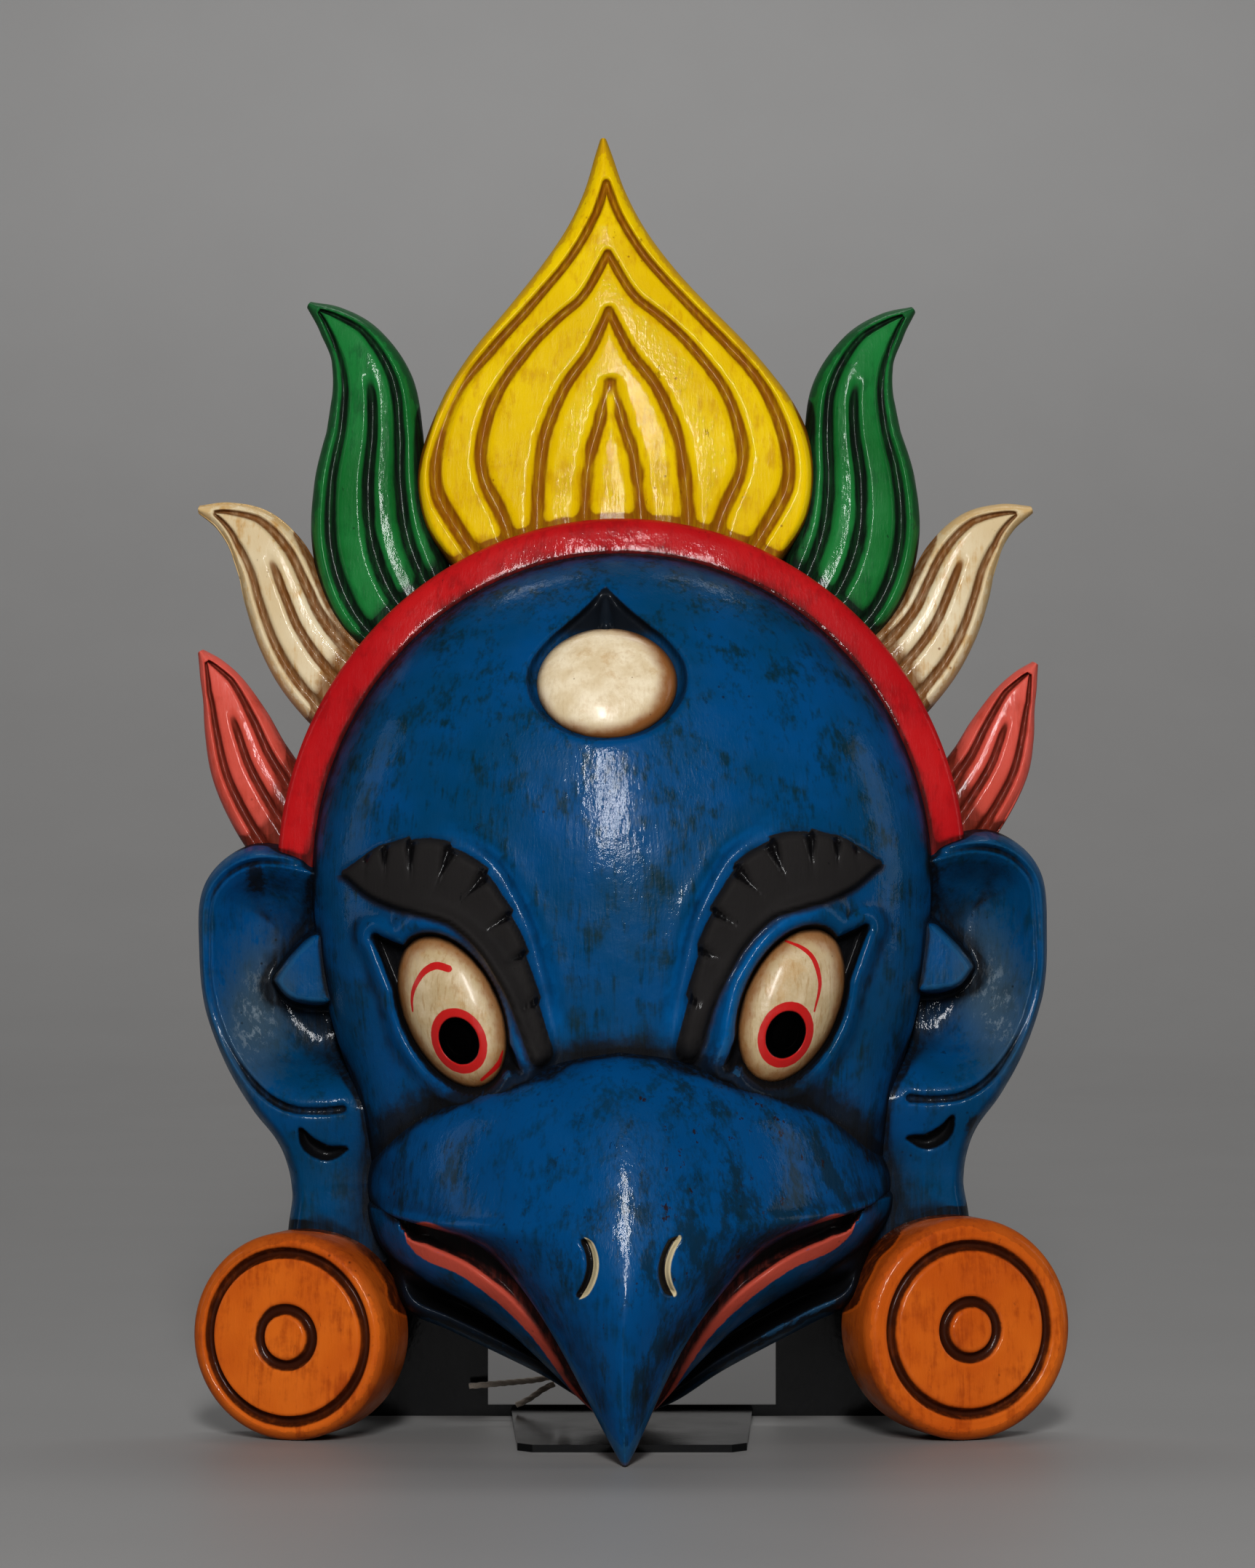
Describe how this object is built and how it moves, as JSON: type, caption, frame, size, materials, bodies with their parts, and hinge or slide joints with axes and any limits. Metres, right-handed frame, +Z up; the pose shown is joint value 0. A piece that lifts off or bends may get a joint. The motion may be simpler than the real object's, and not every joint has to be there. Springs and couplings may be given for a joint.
{
  "type": "carved and painted wooden garuda mask on a bent steel stand",
  "caption": "Bird-faced garuda mask carved from one block of wood, with a flame crest, hooked beak and round ear discs, leaning on a bent black steel sheet stand, with its cotton hanging string.",
  "frame": {"origin": "middle of the base, on the table, below the whole object's box", "axes": "+Z up, the mask faces -Y, +X to its left ear, the viewer's right"},
  "size_m": [0.177, 0.0936, 0.2646],
  "materials": {
    "painted_wood": "hand-painted in blue, yellow, green, cream, coral, red, orange and black, worn and stained",
    "black_steel": "gloss black enamel",
    "cotton": "twisted cotton string"
  },
  "bodies": {
    "root": {"mask": "painted_wood", "stand": "black_steel", "string_left": "cotton", "string_right": "cotton", "string_end_upper": "cotton", "string_end_lower": "cotton", "string_knot": "cotton"}
  },
  "joints": []
}
